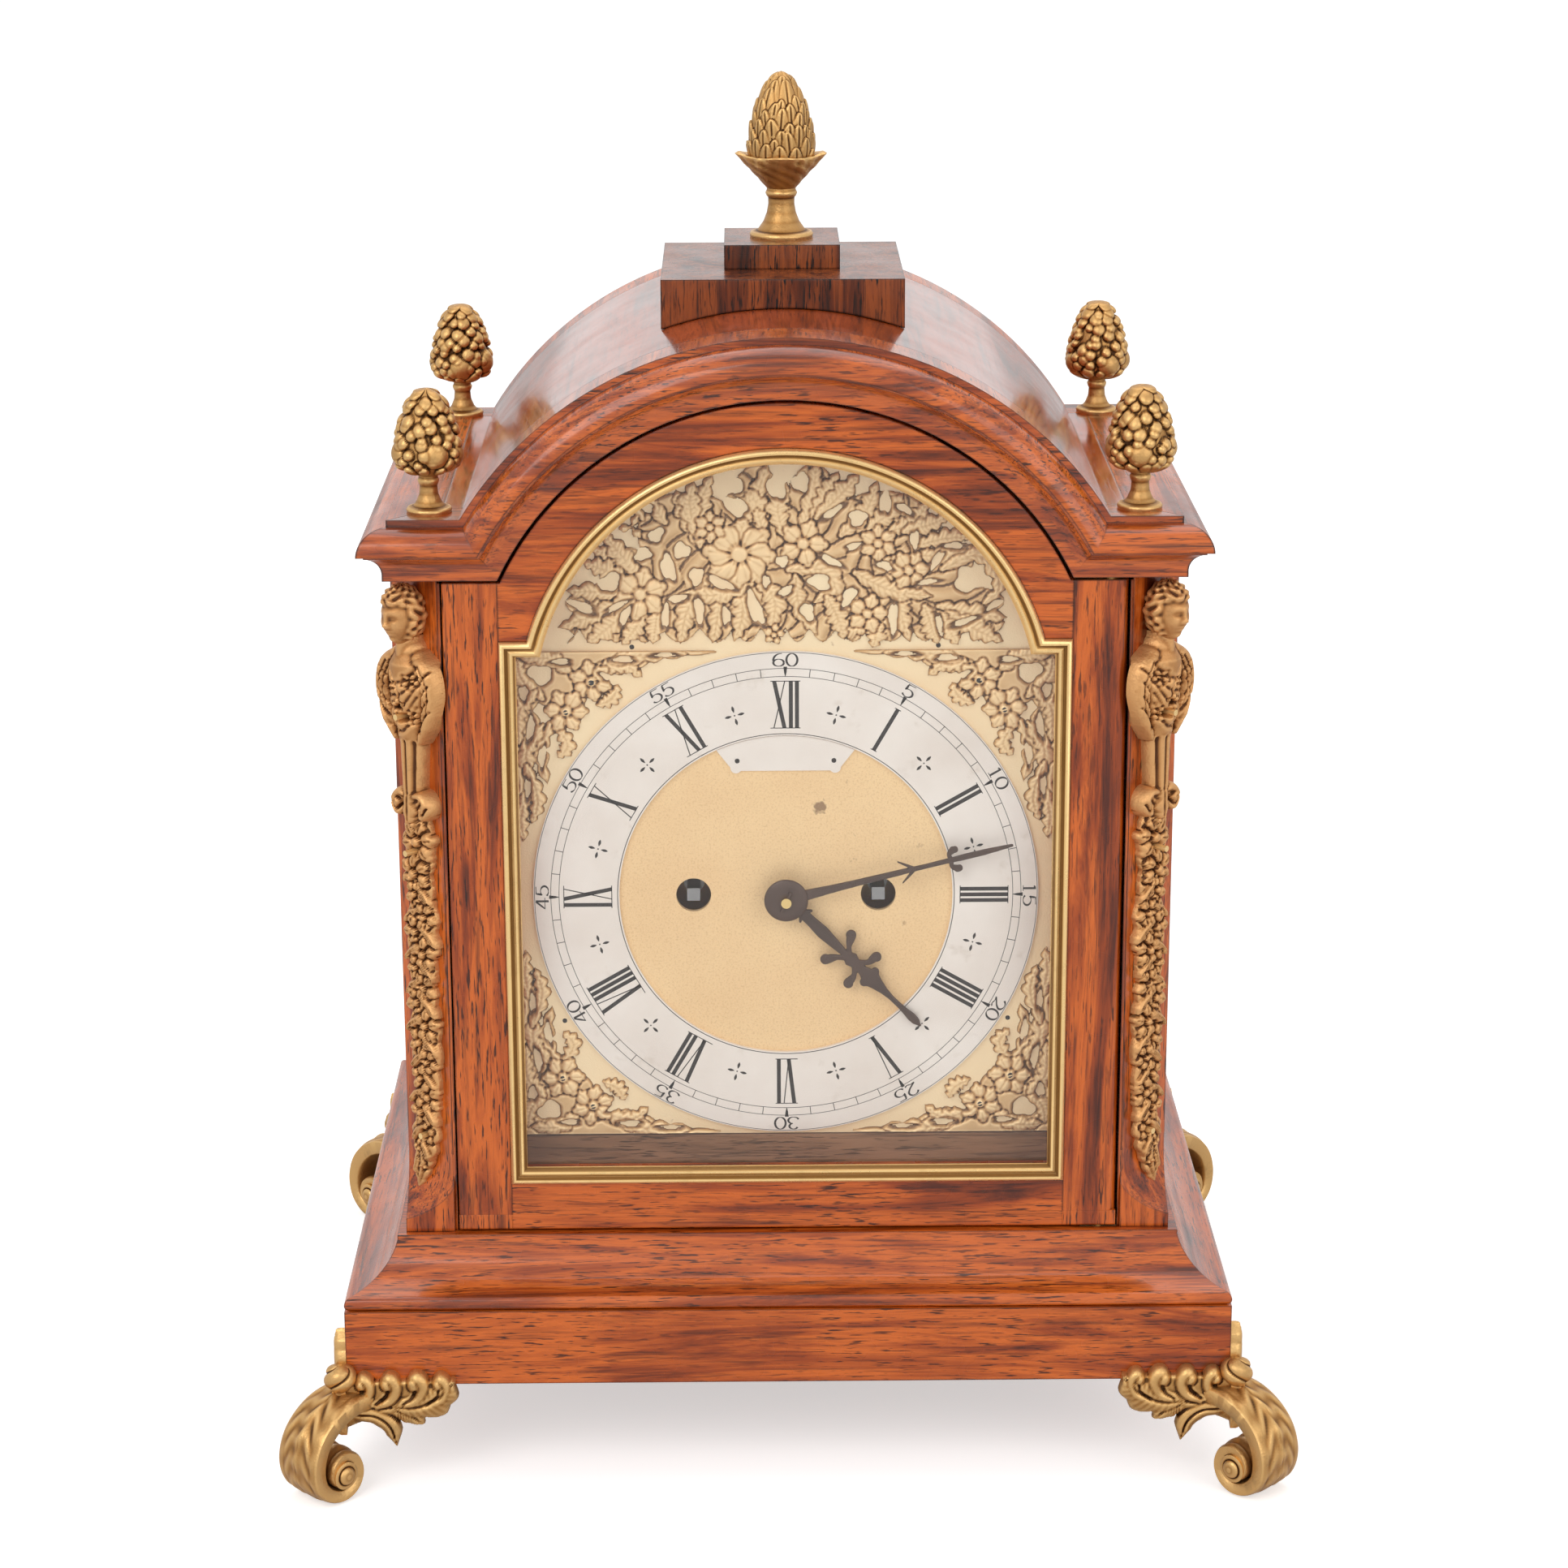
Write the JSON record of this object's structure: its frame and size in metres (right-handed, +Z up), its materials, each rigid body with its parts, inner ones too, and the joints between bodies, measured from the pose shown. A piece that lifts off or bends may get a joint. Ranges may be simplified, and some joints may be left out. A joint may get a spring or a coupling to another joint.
{
  "type": "bracket clock",
  "caption": "Break-arch wooden table clock on scroll feet, with figure corner mounts, pineapple finials, glazed front and back doors, brass dial, spring-driven movement, pendulum and bell.",
  "frame": {"origin": "middle of the surface that the feet stand on", "axes": "+Z up, the dial faces -Y, +X to the right as seen from the front"},
  "size_m": [0.3016, 0.2414, 0.404],
  "materials": {
    "case_wood": "french polished red-brown veneer",
    "inner_wood": "dark stained, matt",
    "gilt_casting": "antique gilt casting",
    "polished_brass": "polished and lacquered",
    "glass": "clear flat glass",
    "dial_gilt": "matted gilt",
    "silvered_brass": "silvered brass, satin",
    "movement_brass": "brushed and lacquered",
    "blued_steel": "dark blued steel",
    "arbor_steel": "turned steel",
    "bell_metal": "turned bell metal",
    "pendulum_brass": "turned brass"
  },
  "bodies": {
    "case": {"arch_spandrel": "dial_gilt", "base_board": "inner_wood", "base_moulding": "case_wood", "bell": "bell_metal", "case_hardware": "polished_brass", "chapter_ring": "silvered_brass", "corner_mount_left": "gilt_casting", "corner_mount_right": "gilt_casting", "corner_post_left": "case_wood", "corner_post_right": "case_wood", "corner_spandrels": "dial_gilt", "cornice_front": "case_wood", "cornice_rear": "case_wood", "cornice_sides": "case_wood", "dial_mask": "inner_wood", "dial_plate": "dial_gilt", "finial_block_lower": "case_wood", "finial_block_upper": "case_wood", "finial_front_left": "gilt_casting", "finial_front_right": "gilt_casting", "finial_rear_left": "gilt_casting", "finial_rear_right": "gilt_casting", "finial_top": "gilt_casting", "foot_front_left": "gilt_casting", "foot_front_right": "gilt_casting", "foot_rear_left": "gilt_casting", "foot_rear_right": "gilt_casting", "movement_back_plate": "movement_brass", "movement_front_plate": "movement_brass", "name_plaque": "silvered_brass", "plinth": "case_wood", "roof": "case_wood", "seat_board": "inner_wood", "side_panel_left": "case_wood", "side_panel_right": "case_wood"},
    "front_door": {"door_stile_left": "case_wood", "door_stile_right": "case_wood", "door_bottom_rail": "case_wood", "door_arch_head": "case_wood", "door_bezel": "polished_brass", "door_glass": "glass", "door_pivots": "polished_brass"},
    "back_door": {"back_door_frame": "case_wood", "back_door_glass": "glass", "back_door_fittings": "polished_brass"},
    "minute": {"minute_hand": "blued_steel", "cannon_wheel": "movement_brass"},
    "motion_wheel": {"minute_wheel": "movement_brass"},
    "hour": {"hour_hand": "blued_steel", "hour_wheel": "movement_brass"},
    "centre": {"centre_arbor": "movement_brass"},
    "going_barrel": {"going_barrel": "movement_brass"},
    "third": {"third_wheel": "movement_brass"},
    "escape": {"escape_wheel": "movement_brass"},
    "strike_barrel": {"strike_barrel": "movement_brass"},
    "winding_going": {"winding_arbor_going": "arbor_steel"},
    "winding_strike": {"winding_arbor_strike": "arbor_steel"},
    "pallets": {"pallet_arbor": "arbor_steel"},
    "pendulum": {"pendulum": "pendulum_brass"},
    "hammer": {"hammer": "arbor_steel"}
  },
  "joints": [
    {"name": "front_door_hinge", "type": "hinge", "parent": "case", "child": "front_door", "pos_m": [0.092, -0.0795, 0.17], "axis": [0, 0, 1], "range_deg": [0, 100]},
    {"name": "back_door_hinge", "type": "hinge", "parent": "case", "child": "back_door", "pos_m": [-0.092, 0.0795, 0.17], "axis": [0, 0, 1], "range_deg": [0, 100]},
    {"name": "hand_setting", "type": "hinge", "parent": "case", "child": "minute", "pos_m": [0, 0, 0.1723], "axis": [0, 1, 0], "continuous": true},
    {"name": "motion_wheel_turn", "type": "hinge", "parent": "case", "child": "motion_wheel", "pos_m": [0, 0, 0.1528], "axis": [0, 1, 0], "continuous": true},
    {"name": "hour_turn", "type": "hinge", "parent": "case", "child": "hour", "pos_m": [0, 0, 0.1723], "axis": [0, 1, 0], "continuous": true},
    {"name": "train_run", "type": "hinge", "parent": "case", "child": "third", "pos_m": [0.01086, 0, 0.19229], "axis": [0, 1, 0], "continuous": true},
    {"name": "centre_turn", "type": "hinge", "parent": "case", "child": "centre", "pos_m": [0, 0, 0.1723], "axis": [0, 1, 0], "continuous": true},
    {"name": "going_barrel_turn", "type": "hinge", "parent": "case", "child": "going_barrel", "pos_m": [0.027, 0, 0.1723], "axis": [0, 1, 0], "continuous": true},
    {"name": "escape_turn", "type": "hinge", "parent": "case", "child": "escape", "pos_m": [0, 0, 0.2083], "axis": [0, 1, 0], "continuous": true},
    {"name": "strike_barrel_turn", "type": "hinge", "parent": "case", "child": "strike_barrel", "pos_m": [-0.027, 0, 0.1723], "axis": [0, 1, 0], "continuous": true},
    {"name": "going_winding", "type": "hinge", "parent": "case", "child": "winding_going", "pos_m": [0.027, 0, 0.1723], "axis": [0, 1, 0], "range_deg": [0, 1980]},
    {"name": "strike_winding", "type": "hinge", "parent": "case", "child": "winding_strike", "pos_m": [-0.027, 0, 0.1723], "axis": [0, 1, 0], "range_deg": [-1980, 0]},
    {"name": "pendulum_swing", "type": "hinge", "parent": "case", "child": "pendulum", "pos_m": [0, 0, 0.2361], "axis": [0, 1, 0], "range_deg": [-3, 3]},
    {"name": "pallet_rock", "type": "hinge", "parent": "case", "child": "pallets", "pos_m": [0, 0, 0.2295], "axis": [0, 1, 0], "range_deg": [-3.7, 3.7]},
    {"name": "hammer_strike", "type": "hinge", "parent": "case", "child": "hammer", "pos_m": [-0.045, 0, 0.2203], "axis": [0, 1, 0], "range_deg": [-20, 0], "stiffness_Nm_per_rad": 0.02}
  ],
  "couplings": [
    {"joint": "motion_wheel_turn", "follows": "hand_setting", "ratio": -1},
    {"joint": "hour_turn", "follows": "hand_setting", "ratio": 0.083333},
    {"joint": "centre_turn", "follows": "train_run", "ratio": -0.083333},
    {"joint": "going_barrel_turn", "follows": "train_run", "ratio": 0.010417},
    {"joint": "escape_turn", "follows": "train_run", "ratio": -13.333},
    {"joint": "pallet_rock", "follows": "pendulum_swing", "ratio": 1.2}
  ]
}
